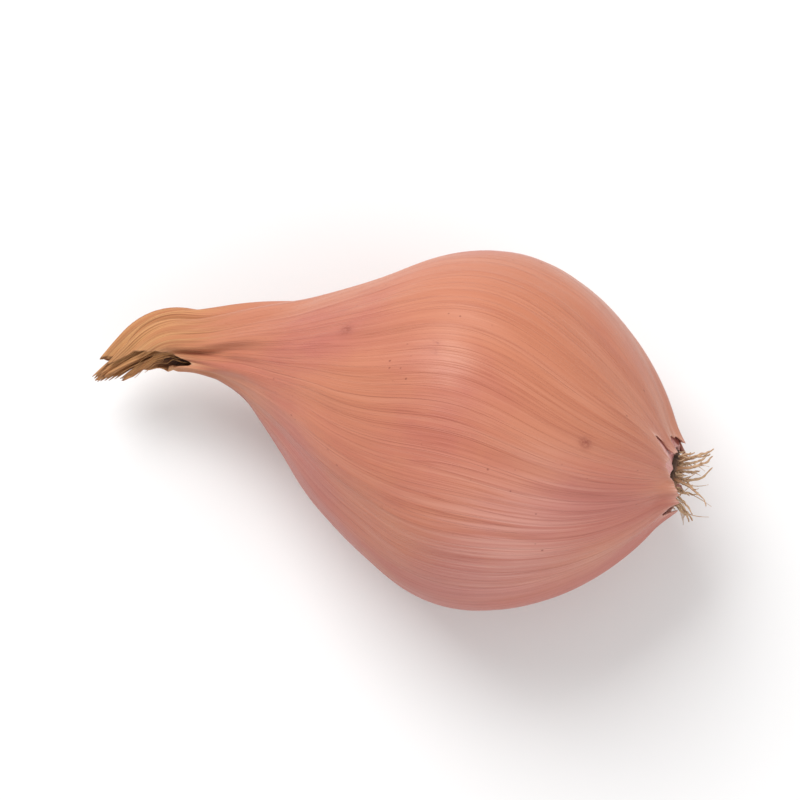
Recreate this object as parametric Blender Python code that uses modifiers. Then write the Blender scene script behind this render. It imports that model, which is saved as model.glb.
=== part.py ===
"""A pink shallot lying on its side: the bulb with its dried neck, its root plate, dry roots and leaf ends.

Every shape is first made along a straight axis: z runs from the widest ring towards the neck, x goes across
and y goes up. lay_down then carries it along the bulb's own bent axis, with the neck towards -X.
"""

import math
import random

import bpy
import numpy as np

MM = 0.001
GAP = 0.3 * MM

# The bulb, from the widest ring
BODY_RADIUS = 27.5 * MM
ROOT_SIDE = 31.0 * MM
ROOT_BLUNTNESS = 0.6
SHOULDER = 50.0 * MM
NECK_RADIUS = 4.6 * MM
NECK_TIP = 59.5 * MM
UNDERSIDE = 0.78
FLAT_DEPTH = 0.7 * MM
DROOP = math.radians(4.0)

# The neck narrows to a beak: (by what share, centred where, over what length)
BEAK_NARROWING = 0.45
BEAK_CENTRE = 58.0 * MM
BEAK_STRETCH = 17.0 * MM

# The open end of the rolled neck, cut back on one side like a quill
RIM_WIDTH = 0.9 * MM
RIM_FLARE = 0.2 * MM
HOLLOW_DEPTH = 6.0 * MM
NECK_SLANT = 7.5 * MM
SLANT_STRETCH = 12.0 * MM

# Its outline: shares of the hollow's radius and depth, then shares of the rim's width outwards and downwards
HOLLOW_OUTLINE = ((0.0, 1.0), (0.75, 1.0), (0.95, 0.85), (1.0, 0.5))
RIM_OUTLINE = ((0.2, 0.1), (0.5, 0.0), (0.9, 0.2))

# The neck's bends: (where it is centred, over what length, turn sideways, turn upwards)
NECK_BENDS = (
    (18 * MM, 14 * MM, math.radians(7), math.radians(-2)),
    (38 * MM, 12 * MM, math.radians(-12), math.radians(-5)),
    (53 * MM, 9 * MM, math.radians(-42), math.radians(-8)),
)

# The root end
PLATE_RADIUS = 4.3 * MM
PLATE_THICKNESS = 1.8 * MM
PLATE_CROWN = 0.5 * MM
PLATE_BEVEL = 0.4 * MM
HOLLOW_LIP = 0.5 * MM
HOLLOW_STEP = 0.1 * MM

# The plate's outer face: shares of its radius and of its crown
CROWN_OUTLINE = ((0.8, 0.4), (0.45, 0.9), (0.0, 1.0))

# The roots: (how many, radius of their ring, greatest length), then the ranges that each one is drawn from
ROOT_RINGS = ((10, 3.3 * MM, 7.5 * MM), (4, 1.3 * MM, 4.5 * MM))
ROOT_THICKNESS = 0.36 * MM
ROOT_TAPER = 0.45
ROOT_POINTS = 7
ROOT_SPACING = (-0.12, 0.12)
ROOT_LENGTHS = (0.6, 1.0)
ROOT_LEANS = (0.45, 0.8)
ROOT_SWIRLS = (-0.35, 0.35)
ROOT_CURLS = (0.96, 1.0)
ROOT_REACH = 0.9
SEED = 4

# The leaf ends in the neck
LEAF_COUNT = 3
LEAF_THICKNESS = 0.55 * MM
LEAF_TAPER = 0.4
LEAF_RING = 1.15 * MM
LEAF_LENGTH = 8.5 * MM
LEAF_POINTS = 6
LEAF_START = 0.2
LEAF_TWIST = 0.25
LEAF_WAIST = 0.4
LEAF_WAIST_DEPTH = 0.7
LEAF_SPLAY = 0.35

STEPS_AROUND = 40
BODY_POINTS = 13
NECK_POINTS = 36
MERGE_DISTANCE = 0.01 * MM
TABLE_SIZE = 4.0 * BODY_RADIUS


def clear_scene():
    for thing in list(bpy.data.objects):
        bpy.data.objects.remove(thing, do_unlink=True)


def collection(name):
    made = bpy.data.collections.new(name)
    bpy.context.scene.collection.children.link(made)
    return made


def material(name, colour, roughness):
    made = bpy.data.materials.new(name)
    made.use_nodes = True
    shader = made.node_tree.nodes["Principled BSDF"]
    shader.inputs["Base Color"].default_value = (*colour, 1.0)
    shader.inputs["Roughness"].default_value = roughness
    shader.inputs["Metallic"].default_value = 0.0
    return made


def add_object(name, data, home, finish):
    thing = bpy.data.objects.new(name, data)
    data.materials.append(finish)
    home.objects.link(thing)
    return thing


def smooth_step(along, centre, length):
    """0 before the stretch, 1 after it, and an even turn between."""
    part = np.clip((along - centre) / length + 0.5, 0.0, 1.0)
    return part * part * (3.0 - 2.0 * part)


def axis_at(along):
    """Position and the two square directions of the bulb's axis, at each distance from the widest ring."""
    steps = np.linspace(-1.2 * ROOT_SIDE, 1.3 * NECK_TIP, 1200)
    sideways = np.zeros_like(steps)
    upwards = np.zeros_like(steps)
    for centre, length, side_turn, up_turn in NECK_BENDS:
        turned = smooth_step(steps, centre, length)
        sideways += side_turn * turned
        upwards += up_turn * turned
    heading = np.stack(
        [-np.cos(sideways) * np.cos(upwards), np.sin(sideways) * np.cos(upwards), np.sin(upwards)], axis=1
    )
    moves = heading * (steps[1] - steps[0])
    place = np.cumsum(moves, axis=0)
    start = np.array([np.interp(0.0, steps, place[:, i]) for i in range(3)])
    place -= start
    across = np.stack([-np.sin(sideways), -np.cos(sideways), np.zeros_like(steps)], axis=1)
    up = np.cross(heading, across)

    def read(table):
        return np.stack([np.interp(along, steps, table[:, i]) for i in range(3)], axis=-1)

    return read(place), read(across), read(up)


def lay_down(points):
    """Carries points from the straight axis to the bulb's own, after two changes to the turned shape.

    The neck's end is drawn out on its outer side, so that its rim slants, and the underside is flattened
    where the bulb is wide.
    """
    points = np.asarray(points, dtype=float)
    across, up, along = points[:, 0], points[:, 1], points[:, 2]
    near_rim = smooth_step(along, NECK_TIP - 0.5 * SLANT_STRETCH, SLANT_STRETCH)
    along = along - NECK_SLANT * across / NECK_RADIUS * near_rim
    wide = np.clip(np.hypot(across, up) / BODY_RADIUS, 0.0, 1.0)
    up = np.where(up < 0.0, up * (1.0 - (1.0 - UNDERSIDE) * wide), up)
    place, sideways, upwards = axis_at(along)
    return place + across[:, None] * sideways + up[:, None] * upwards


def lay_mesh_down(mesh):
    points = np.empty(len(mesh.vertices) * 3)
    mesh.vertices.foreach_get("co", points)
    mesh.vertices.foreach_set("co", lay_down(points.reshape(-1, 3)).ravel())
    mesh.update()


def turned_mesh(name, profile):
    """The closed mesh of a profile of (radius, height) points, listed from its top to its bottom."""
    outline = bpy.data.meshes.new(name + "_profile")
    edges = [(i, i + 1) for i in range(len(profile) - 1)]
    outline.from_pydata([(radius, 0.0, height) for radius, height in profile], edges, [])
    blank = bpy.data.objects.new(name + "_profile", outline)
    bpy.context.scene.collection.objects.link(blank)
    screw = blank.modifiers.new("turn", "SCREW")
    screw.axis = "Z"
    screw.steps = STEPS_AROUND
    screw.render_steps = STEPS_AROUND
    screw.use_merge_vertices = True
    screw.merge_threshold = MERGE_DISTANCE
    graph = bpy.context.evaluated_depsgraph_get()
    mesh = bpy.data.meshes.new_from_object(blank.evaluated_get(graph))
    bpy.data.objects.remove(blank)
    mesh.name = name
    mesh.shade_smooth()
    return mesh


def bulb_radius(along):
    """A cosine bell from body to neck, which narrows to a beak; a blunted cosine closes the root side."""
    if along < 0.0:
        return BODY_RADIUS * math.cos(0.5 * math.pi * -along / ROOT_SIDE) ** ROOT_BLUNTNESS
    bell = math.cos(0.5 * math.pi * min(along / SHOULDER, 1.0)) ** 2
    beak = 1.0 - BEAK_NARROWING * float(smooth_step(along, BEAK_CENTRE, BEAK_STRETCH))
    return (NECK_RADIUS + (BODY_RADIUS - NECK_RADIUS) * bell) * beak


def root_end():
    """How far from the widest ring the root side has narrowed to the hollow of the root plate."""
    hollow = PLATE_RADIUS + GAP + HOLLOW_LIP
    return ROOT_SIDE * 2.0 / math.pi * math.acos((hollow / BODY_RADIUS) ** (1.0 / ROOT_BLUNTNESS))


def bulb_profile():
    """Down the hollow of the neck is first, then its rim, the long side, the belly and the root's hollow."""
    inside = bulb_radius(NECK_TIP) + RIM_FLARE - RIM_WIDTH
    neck = [(share * inside, NECK_TIP - depth * HOLLOW_DEPTH) for share, depth in HOLLOW_OUTLINE]
    rim = [(inside + out * RIM_WIDTH, NECK_TIP - down * RIM_WIDTH) for out, down in RIM_OUTLINE]
    low_rim = NECK_TIP - 2.0 * RIM_WIDTH
    side = [(bulb_radius(z), z) for z in np.linspace(low_rim, 0.0, NECK_POINTS)]
    end = root_end()
    falls = [-end * math.sin(0.5 * math.pi * t) for t in np.linspace(0.0, 1.0, BODY_POINTS)[1:]]
    belly = [(bulb_radius(fall), fall) for fall in falls]
    hollow = [
        (PLATE_RADIUS + GAP, -end - HOLLOW_STEP),
        (PLATE_RADIUS + GAP, -end + PLATE_THICKNESS),
        (0.0, -end + PLATE_THICKNESS),
    ]
    return neck + rim + side + belly + hollow


def plate_profile():
    """The flat inner face, the bevelled side and the crowned outer face."""
    inner = -root_end() + PLATE_THICKNESS - GAP
    outer = -root_end()
    side = [
        (0.0, inner),
        (PLATE_RADIUS - PLATE_BEVEL, inner),
        (PLATE_RADIUS, inner - PLATE_BEVEL),
        (PLATE_RADIUS, outer + 0.5 * PLATE_BEVEL),
    ]
    return side + [(share * PLATE_RADIUS, outer - rise * PLATE_CROWN) for share, rise in CROWN_OUTLINE]


def strand(name, path, thickness, taper, home, finish):
    """A round strand along a path of laid-down points, thinning towards its far end."""
    curve = bpy.data.curves.new(name, "CURVE")
    curve.dimensions = "3D"
    curve.bevel_depth = thickness
    curve.bevel_resolution = 1
    curve.use_fill_caps = True
    spline = curve.splines.new("POLY")
    spline.points.add(len(path) - 1)
    for i, (point, place) in enumerate(zip(spline.points, path)):
        point.co = (*place, 1.0)
        point.radius = 1.0 - (1.0 - taper) * i / (len(path) - 1)
    return add_object(name, curve, home, finish)


def root_path(rng, angle, ring, length):
    """Out of the plate, leaning away from its middle, with a curl that differs from root to root."""
    start = -root_end() - PLATE_CROWN - GAP
    lean = rng.uniform(*ROOT_LEANS) * ring / ROOT_RINGS[0][1]
    swirl = rng.uniform(*ROOT_SWIRLS)
    path = []
    for t in np.linspace(0.0, 1.0, ROOT_POINTS):
        out = ring + lean * length * t * (0.5 + 0.5 * t)
        turn = angle + swirl * t * t
        away = ROOT_REACH * length * math.sin(t * rng.uniform(*ROOT_CURLS))
        path.append((out * math.cos(turn), out * math.sin(turn), start - away))
    return lay_down(path)


def leaf_path(rng, angle):
    """From inside the neck's open end to beyond its rim, drawing together at a waist and then apart."""
    start = NECK_TIP - HOLLOW_DEPTH + GAP + LEAF_THICKNESS
    path = []
    for t in np.linspace(0.0, 1.0, LEAF_POINTS):
        waist = LEAF_WAIST_DEPTH * (t - LEAF_WAIST) ** 2
        out = LEAF_RING * (1.0 + waist + LEAF_SPLAY * rng.uniform(0.0, 1.0) * t)
        turn = angle + LEAF_TWIST * t
        path.append((out * math.cos(turn), out * math.sin(turn), start + LEAF_LENGTH * t))
    return lay_down(path)


def world_points(thing):
    """Where the points of an object's finished surface are."""
    evaluated = thing.evaluated_get(bpy.context.evaluated_depsgraph_get())
    mesh = evaluated.to_mesh()
    points = np.array([evaluated.matrix_world @ vertex.co for vertex in mesh.vertices])
    evaluated.to_mesh_clear()
    return points


def add_roots(rng, home, finish):
    """Every ring of roots, numbered from the outer ring inwards."""
    roots = []
    for count, ring, length in ROOT_RINGS:
        for i in range(count):
            angle = 2.0 * math.pi * (i + rng.uniform(*ROOT_SPACING)) / count
            path = root_path(rng, angle, ring, length * rng.uniform(*ROOT_LENGTHS))
            name = f"root_{len(roots) + 1:02d}"
            roots.append(strand(name, path, ROOT_THICKNESS, ROOT_TAPER, home, finish))
    return roots


def add_leaf_ends(rng, home, finish):
    leaves = []
    for i in range(LEAF_COUNT):
        path = leaf_path(rng, 2.0 * math.pi * (i + LEAF_START) / LEAF_COUNT)
        leaves.append(strand(f"neck_leaf_{i + 1}", path, LEAF_THICKNESS, LEAF_TAPER, home, finish))
    return leaves


def stand_on_table(things, bulb, home):
    """Tips everything by the droop, centres its box and sinks the belly by the depth of the flat spot."""
    stand = bpy.data.objects.new("shallot_axis", None)
    home.objects.link(stand)
    stand.rotation_euler = (0.0, -DROOP, 0.0)
    for thing in things:
        thing.parent = stand
    bpy.context.view_layer.update()
    everything = np.concatenate([world_points(thing) for thing in things])
    middle = 0.5 * (everything.min(axis=0) + everything.max(axis=0))
    belly = world_points(bulb)[:, 2].min()
    stand.location = (-middle[0], -middle[1], -belly - FLAT_DEPTH)
    bpy.context.view_layer.update()


def cut_flat_spot(bulb, home):
    """Takes away what lies below the table, with a box whose top is at height 0."""
    bpy.ops.mesh.primitive_cube_add(size=TABLE_SIZE, location=(0.0, 0.0, -0.5 * TABLE_SIZE))
    table = bpy.context.object
    table.name = "flat_spot_cutter"
    for owner in list(table.users_collection):
        owner.objects.unlink(table)
    home.objects.link(table)
    table.hide_render = True
    table.display_type = "WIRE"
    cut = bulb.modifiers.new("flat_spot", "BOOLEAN")
    cut.operation = "DIFFERENCE"
    cut.solver = "EXACT"
    cut.object = table


def build():
    clear_scene()
    parts = collection("pink_shallot")
    skin = material("papery_skin", (0.59, 0.25, 0.17), 0.42)
    cork = material("root_cork", (0.36, 0.24, 0.16), 0.85)
    root_fibre = material("dry_root", (0.62, 0.50, 0.36), 0.8)
    dry_leaf = material("dry_leaf", (0.33, 0.19, 0.09), 0.75)
    rng = random.Random(SEED)

    bulb_mesh = turned_mesh("bulb", bulb_profile())
    lay_mesh_down(bulb_mesh)
    bulb = add_object("bulb", bulb_mesh, parts, skin)

    plate_mesh = turned_mesh("root_plate", plate_profile())
    lay_mesh_down(plate_mesh)
    plate = add_object("root_plate", plate_mesh, parts, cork)

    roots = add_roots(rng, parts, root_fibre)
    leaves = add_leaf_ends(rng, parts, dry_leaf)
    stand_on_table([bulb, plate, *roots, *leaves], bulb, parts)
    cut_flat_spot(bulb, collection("cutters"))


build()
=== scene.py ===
# %% [markdown]
# # A pink shallot, lying on its side
# A shallot is a small onion. Dry, papery skins wrap a swollen bulb, and they run on into a thin dried neck.
# At the other end sits a corky root plate with a few short roots. This lesson builds the surface of each of
# those pieces with numpy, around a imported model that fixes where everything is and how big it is.

# %% Load the frame
import math
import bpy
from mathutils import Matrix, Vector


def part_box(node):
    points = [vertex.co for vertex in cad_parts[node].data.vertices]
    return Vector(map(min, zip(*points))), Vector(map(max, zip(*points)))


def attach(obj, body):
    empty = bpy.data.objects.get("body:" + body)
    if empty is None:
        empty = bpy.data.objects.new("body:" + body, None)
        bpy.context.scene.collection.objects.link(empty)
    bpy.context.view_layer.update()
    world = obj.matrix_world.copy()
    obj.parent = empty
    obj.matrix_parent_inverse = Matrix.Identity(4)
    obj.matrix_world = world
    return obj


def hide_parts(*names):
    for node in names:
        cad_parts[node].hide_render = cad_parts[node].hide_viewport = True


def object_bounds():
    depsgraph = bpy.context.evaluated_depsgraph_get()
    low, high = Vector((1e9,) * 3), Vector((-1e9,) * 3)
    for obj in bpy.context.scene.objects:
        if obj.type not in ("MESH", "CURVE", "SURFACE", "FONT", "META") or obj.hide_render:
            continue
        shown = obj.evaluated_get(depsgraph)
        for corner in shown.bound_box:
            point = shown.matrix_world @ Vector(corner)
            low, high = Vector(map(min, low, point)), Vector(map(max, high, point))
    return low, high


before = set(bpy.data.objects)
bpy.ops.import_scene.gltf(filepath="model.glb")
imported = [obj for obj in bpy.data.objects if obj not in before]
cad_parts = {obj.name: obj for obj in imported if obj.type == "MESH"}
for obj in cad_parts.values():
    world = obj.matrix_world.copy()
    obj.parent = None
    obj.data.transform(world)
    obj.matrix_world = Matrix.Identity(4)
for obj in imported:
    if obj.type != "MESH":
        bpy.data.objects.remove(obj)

from types import SimpleNamespace

import bpy
import numpy as np
from mathutils import Vector

MM = 0.001
CAD_BOX = [list(corner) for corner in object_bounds()]
BULB_LOW, BULB_HIGH = (np.array(corner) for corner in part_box("bulb"))
BODY_RADIUS = 0.5 * (BULB_HIGH[1] - BULB_LOW[1])
print("bulb box in mm:", np.round((BULB_HIGH - BULB_LOW) / MM, 1))
print("body radius in mm:", round(BODY_RADIUS / MM, 2))

# %% [markdown]
# ## The outline of the bulb
# Cut lengthwise, a shallot's outline is a round belly that falls away to a thin neck, which ends in a beak.
# A cosine bell gives belly and neck in one formula, with no kink where they meet, and a blunted cosine closes
# the root side. The distance along the axis is called `along`: it is 0 at the widest ring and grows towards
# the neck.

# %% Outline formulas
ROOT_SIDE = 31.0 * MM
ROOT_BLUNTNESS = 0.6
SHOULDER = 50.0 * MM
NECK_RADIUS = 4.6 * MM
NECK_TIP = 61.0 * MM
BEAK_NARROWING = 0.45
BEAK_CENTRE = NECK_TIP - 3.0 * MM
BEAK_STRETCH = 17.0 * MM
HOLLOW_RADIUS = 4.6 * MM
HOLLOW_LIP = 0.5 * MM
HOLLOW_DEPTH = 1.8 * MM


def smooth_step(values, centre, length):
    """0 before the stretch, 1 after it, and 3p^2 - 2p^3 inside it, with p the part of it that is passed."""
    part = np.clip((values - centre) / length + 0.5, 0.0, 1.0)
    return part * part * (3.0 - 2.0 * part)


def turn_between(angle, centre):
    """The angle minus the centre, wrapped to between minus and plus half a turn."""
    return (angle - centre + np.pi) % (2.0 * np.pi) - np.pi


def bulb_radius(along):
    """Neck radius plus a squared cosine bell on the neck side, and a blunted cosine on the root side."""
    bell = np.cos(0.5 * np.pi * np.clip(along / SHOULDER, 0.0, 1.0)) ** 2
    neck_side = NECK_RADIUS + (BODY_RADIUS - NECK_RADIUS) * bell
    root_side = BODY_RADIUS * np.cos(0.5 * np.pi * np.clip(-along / ROOT_SIDE, 0.0, 1.0)) ** ROOT_BLUNTNESS
    beak = 1.0 - BEAK_NARROWING * smooth_step(along, BEAK_CENTRE, BEAK_STRETCH)
    return np.where(along < 0.0, root_side, neck_side * beak)


def root_end():
    """Where the root side has narrowed to the lip of the hollow that holds the root plate."""
    share = ((HOLLOW_RADIUS + HOLLOW_LIP) / BODY_RADIUS) ** (1.0 / ROOT_BLUNTNESS)
    return ROOT_SIDE * 2.0 / math.pi * math.acos(share)


ROOT_RIM = -root_end()
print("root rim at", round(ROOT_RIM / MM, 2), "mm, neck tip at", round(NECK_TIP / MM, 2), "mm")

# %% [markdown]
# ## The bent axis
# The neck dried lying over, so the axis isn't straight: it leans out a little at the shoulder, comes back,
# and curls over at the tip. The axis is found by adding up small steps whose heading changes smoothly. A
# point is then placed by its distance across and above the axis. The underside is a little flatter than the
# top, because the bulbs of one cluster press on each other as they grow.

# %% Axis and placing
UNDERSIDE = 0.78
DROOP = math.radians(4.0)
NECK_SLANT = 3.2 * MM
SLANT_STRETCH = 12.0 * MM
NECK_FLATNESS = 0.84
FLAT_CENTRE = 0.75 * NECK_TIP
FLAT_STRETCH = 0.4 * NECK_TIP
AXIS_START = -1.2 * ROOT_SIDE
AXIS_END = 1.4 * NECK_TIP
AXIS_STEPS = 1400
FIT_SAMPLES = 240
# Each bend: its centre along the axis, its length, its turn sideways and its turn upwards.
NECK_BENDS = (
    (18 * MM, 14 * MM, math.radians(7), math.radians(-2)),
    (38 * MM, 12 * MM, math.radians(-12), math.radians(-5)),
    (53 * MM, 9 * MM, math.radians(-42), math.radians(-8)),
)


def axis_table():
    """Sums small steps along the heading, and keeps the two directions square to it at every step."""
    steps = np.linspace(AXIS_START, AXIS_END, AXIS_STEPS)
    sideways = sum(side * smooth_step(steps, centre, length) for centre, length, side, _ in NECK_BENDS)
    upwards = sum(rise * smooth_step(steps, centre, length) for centre, length, _, rise in NECK_BENDS)
    heading = np.stack(
        [-np.cos(sideways) * np.cos(upwards), np.sin(sideways) * np.cos(upwards), np.sin(upwards)], axis=1
    )
    place = np.cumsum(heading * (steps[1] - steps[0]), axis=0)
    place -= [np.interp(0.0, steps, place[:, i]) for i in range(3)]
    across = np.stack([-np.sin(sideways), -np.cos(sideways), np.zeros_like(steps)], axis=1)
    return steps, place, across, np.cross(heading, across)


STEPS, PLACE, ACROSS, UP = axis_table()


def read_table(table, along):
    """Linear interpolation in the axis table, one coordinate at a time."""
    return np.stack([np.interp(along, STEPS, table[:, i]) for i in range(3)], axis=-1)


def lay_down(across, up, along):
    """Axis point + across * sideways + up * upwards, then a turn about Y and the move that fits the frame."""
    near_rim = smooth_step(along, NECK_TIP - 0.5 * SLANT_STRETCH, SLANT_STRETCH)
    along = along - NECK_SLANT * across / NECK_RADIUS * near_rim
    wide = np.clip(np.hypot(across, up) / BODY_RADIUS, 0.0, 1.0)
    up = np.where(up < 0.0, up * (1.0 - (1.0 - UNDERSIDE) * wide), up)
    up = up * (1.0 - (1.0 - NECK_FLATNESS) * smooth_step(along, FLAT_CENTRE, FLAT_STRETCH))
    points = read_table(PLACE, along)
    points = points + across[..., None] * read_table(ACROSS, along) + up[..., None] * read_table(UP, along)
    x = points[..., 0] * math.cos(DROOP) - points[..., 2] * math.sin(DROOP)
    z = points[..., 0] * math.sin(DROOP) + points[..., 2] * math.cos(DROOP)
    return np.stack([x, points[..., 1], z], axis=-1) + FIT


def fit_to_frame():
    """The move that puts the plain outline's root rim, sides and top where the frame has them."""
    stretch = np.linspace(ROOT_RIM, 0.5 * NECK_TIP, FIT_SAMPLES)
    around = np.linspace(0.0, 2.0 * np.pi, FIT_SAMPLES)
    along, angle = np.meshgrid(stretch, around, indexing="ij")
    radius = bulb_radius(along)
    points = lay_down(radius * np.cos(angle), radius * np.sin(angle), along).reshape(-1, 3)
    low, high = points.min(axis=0), points.max(axis=0)
    sideways = 0.5 * (BULB_HIGH + BULB_LOW - high - low)[1]
    return np.array([BULB_HIGH[0] - high[0], sideways, BULB_HIGH[2] - high[2]])


# The move is zero while fit_to_frame measures how far to go.
FIT = np.zeros(3)
FIT = fit_to_frame()
print("moved to the frame by", np.round(FIT / MM, 2), "mm")

# %% [markdown]
# ## Waves instead of noise
# Natural unevenness is easy to get as a sum of a few dozen waves with seeded random heights and starts. A
# whole number of waves around means that the pattern closes on itself, so there is no seam. Torn paper is
# different: its edge is straight runs between sharp corners, so it gets a zigzag of its own.

# %% Seamless waves
CORNER_SHIFT = 0.42
FRAY_PER_TOOTH = 9
FRAY_SIZES = (0.3, 1.0, 1.8)


def waves(seed, count, around, length):
    """A function of angle and distance: a sum of cosines with whole counts around and random lengths."""
    rng = np.random.default_rng(seed)
    turns = rng.integers(around[0], around[1] + 1, count)
    pitch = 2.0 * np.pi / rng.uniform(length[0], length[1], count) * rng.choice([-1.0, 1.0], count)
    start = rng.uniform(0.0, 2.0 * np.pi, count)
    size = rng.uniform(0.4, 1.0, count)
    size /= np.sqrt(0.5 * np.sum(size**2))

    def read(angle, distance):
        """The sum at this angle and distance."""
        total = np.zeros(np.broadcast(angle, distance).shape)
        for k, m, s, a in zip(turns, pitch, start, size):
            total += a * np.cos(k * angle + m * distance + s)
        return total

    return read


def zigzag(seed, teeth, low, high, rough):
    """Straight runs between random low and high points in turn, plus a fine fray: a torn outline."""
    rng = np.random.default_rng(seed)
    corners = 2 * teeth
    angles = 2.0 * np.pi * (np.arange(corners) + rng.uniform(-CORNER_SHIFT, CORNER_SHIFT, corners)) / corners
    values = np.where(np.arange(corners) % 2 == 0, rng.uniform(*low, corners), rng.uniform(*high, corners))
    fine = FRAY_PER_TOOTH * teeth
    fine_angles = np.sort(rng.uniform(0.0, 2.0 * np.pi, fine))
    fine_values = rough * rng.normal(0.0, 1.0, fine) * rng.choice(FRAY_SIZES, fine)

    def read(angle):
        """The outline's value at this angle."""
        turn = angle % (2.0 * np.pi)
        straight = np.interp(turn, angles, values, period=2.0 * np.pi)
        return straight + np.interp(turn, fine_angles, fine_values, period=2.0 * np.pi)

    return read


# %% [markdown]
# ## Lines on the skin
# Each skin is a dried leaf, and its veins run lengthwise from the root plate to the neck. There are a few
# dozen of them, each slightly raised. They are laid out by angle, so they crowd together in the neck as real
# ones do, and they turn slowly around it where the neck was wrung.

# %% Veins, folds and lumps
VEINS = 34
VEIN_WIDTH = 0.8 * MM
VEIN_SHARE = 0.3
LUMP_HEIGHT = 0.42 * MM
RIB_HEIGHT = 0.13 * MM
CRINKLE_HEIGHT = 0.035 * MM
VEIN_HEIGHT = 0.06 * MM
FOLD_HEIGHT = 0.34 * MM
CREASE_HEIGHT = 0.18 * MM
WRING_TURN = 0.9
WRING_CENTRE = 44 * MM
WRING_STRETCH = 44 * MM
SWAY = 0.035
FOLDS_CENTRE = 40 * MM
FOLDS_STRETCH = 30 * MM
LUMPS = waves(11, 16, (1, 4), (45 * MM, 140 * MM))
SHALLOW_RIBS = waves(16, 14, (5, 13), (50 * MM, 120 * MM))
CRINKLES = waves(12, 60, (6, 26), (9 * MM, 34 * MM))
NECK_FOLDS = waves(13, 12, (4, 9), (30 * MM, 90 * MM))
NECK_CREASES = waves(14, 26, (9, 22), (10 * MM, 40 * MM))
VEIN_WANDER = waves(15, 12, (1, 3), (35 * MM, 90 * MM))


def wrung(angle, along):
    """The angle, turned more and more towards the neck's tip, and swaying by a few hundredths of a radian."""
    turned = angle + WRING_TURN * smooth_step(along, WRING_CENTRE, WRING_STRETCH)
    return turned + SWAY * VEIN_WANDER(angle, along)


def vein_height(angle, along, radius):
    """The sum over veins of strength * exp(-(distance across the vein / its width)^2)."""
    rng = np.random.default_rng(21)
    centres = 2.0 * np.pi * (np.arange(VEINS) + rng.uniform(-0.3, 0.3, VEINS)) / VEINS
    strengths = rng.uniform(0.25, 1.0, VEINS)
    turned = wrung(angle, along)
    width = np.minimum(VEIN_WIDTH / np.maximum(radius, MM), VEIN_SHARE * 2.0 * np.pi / VEINS)
    total = np.zeros(np.broadcast(angle, along).shape)
    for centre, strength in zip(centres, strengths):
        total += strength * np.exp(-((turn_between(turned, centre) / width) ** 2))
    return total


def skin_height(angle, along, radius):
    """Lumps on the body, fine crinkles, raised veins, and folds that deepen in the drying neck."""
    neck = smooth_step(along, FOLDS_CENTRE, FOLDS_STRETCH)
    body = 1.0 - neck
    turned = wrung(angle, along)
    height = LUMP_HEIGHT * LUMPS(angle, along) * (0.25 + 0.75 * body)
    height = height + RIB_HEIGHT * SHALLOW_RIBS(turned, along)
    height = height + CRINKLE_HEIGHT * CRINKLES(turned, along) * (0.5 + 0.5 * body)
    height = height + VEIN_HEIGHT * vein_height(angle, along, radius)
    folds = FOLD_HEIGHT * NECK_FOLDS(turned, along) + CREASE_HEIGHT * NECK_CREASES(turned, along)
    return height + folds * neck


# %% [markdown]
# ## Meshes from grids
# Almost every surface here is a grid of points whose rows are closed rings. One helper turns such a grid
# into a mesh: it joins the last column to the first, and closes each end with a fan to a single point.


# %% Grid to mesh
def ring_faces(rows, columns, first):
    """Quads between neighbouring rings and a fan from each end ring to its pole, numbered from first."""
    row, column = np.meshgrid(np.arange(rows - 1), np.arange(columns), indexing="ij")
    here = first + row * columns + column
    after = first + row * columns + (column + 1) % columns
    quads = np.stack([here, after, after + columns, here + columns], axis=-1).reshape(-1, 4)
    start = first + np.arange(columns)
    end = start + (rows - 1) * columns
    pole = np.full(columns, first + rows * columns)
    start_fan = np.stack([np.roll(start, -1), start, pole], axis=-1)
    end_fan = np.stack([end, np.roll(end, -1), pole + 1], axis=-1)
    return quads.tolist() + start_fan.tolist() + end_fan.tolist()


def with_poles(values):
    """All rings in one line, then the mean of the first ring and of the last ring, for the two poles."""
    flat = values.reshape(-1, *values.shape[2:])
    return np.concatenate([flat, values[:1].mean(axis=1), values[-1:].mean(axis=1)])


def keep(piece, name, values):
    """Keeps a number or a vector for each point of the mesh, for its finish to read."""
    kind, field = ("FLOAT_VECTOR", "vector") if values.ndim == 2 else ("FLOAT", "value")
    attribute = piece.data.attributes.new(name, kind, "POINT")
    attribute.data.foreach_set(field, values.ravel().astype(np.float32))


def add_piece(name, points, faces, finish, nodes=()):
    """A smooth-shaded mesh object at the origin that rides on the one body there is."""
    mesh = bpy.data.meshes.new(name)
    mesh.from_pydata(points.tolist(), [], faces)
    mesh.shade_smooth()
    mesh.materials.append(finish)
    piece = bpy.data.objects.new(name, mesh)
    bpy.context.scene.collection.objects.link(piece)
    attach(piece, "root")
    if nodes:
        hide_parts(*nodes)
    return piece


def add_rings(name, parts, finish, nodes=()):
    """A piece made of closed grids of rings. Each part is a grid and the values that its finish reads."""
    points, faces, kept = [], [], {}
    for grid, values in parts:
        faces += ring_faces(*grid.shape[:2], sum(map(len, points)))
        points.append(with_poles(grid))
        for key, value in values.items():
            kept.setdefault(key, []).append(with_poles(value))
    piece = add_piece(name, np.concatenate(points), faces, finish, nodes)
    for key, value in kept.items():
        keep(piece, key, np.concatenate(value))
    return piece


# %% [markdown]
# ## Shader maths as Python
# A material is a net of nodes. Writing the maths as ordinary expressions keeps it readable: `Amount` wraps
# a socket that carries a number, and `a * b + 1` adds the Math nodes. `Finish` holds the node tree and adds
# every other node through one method.


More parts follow.
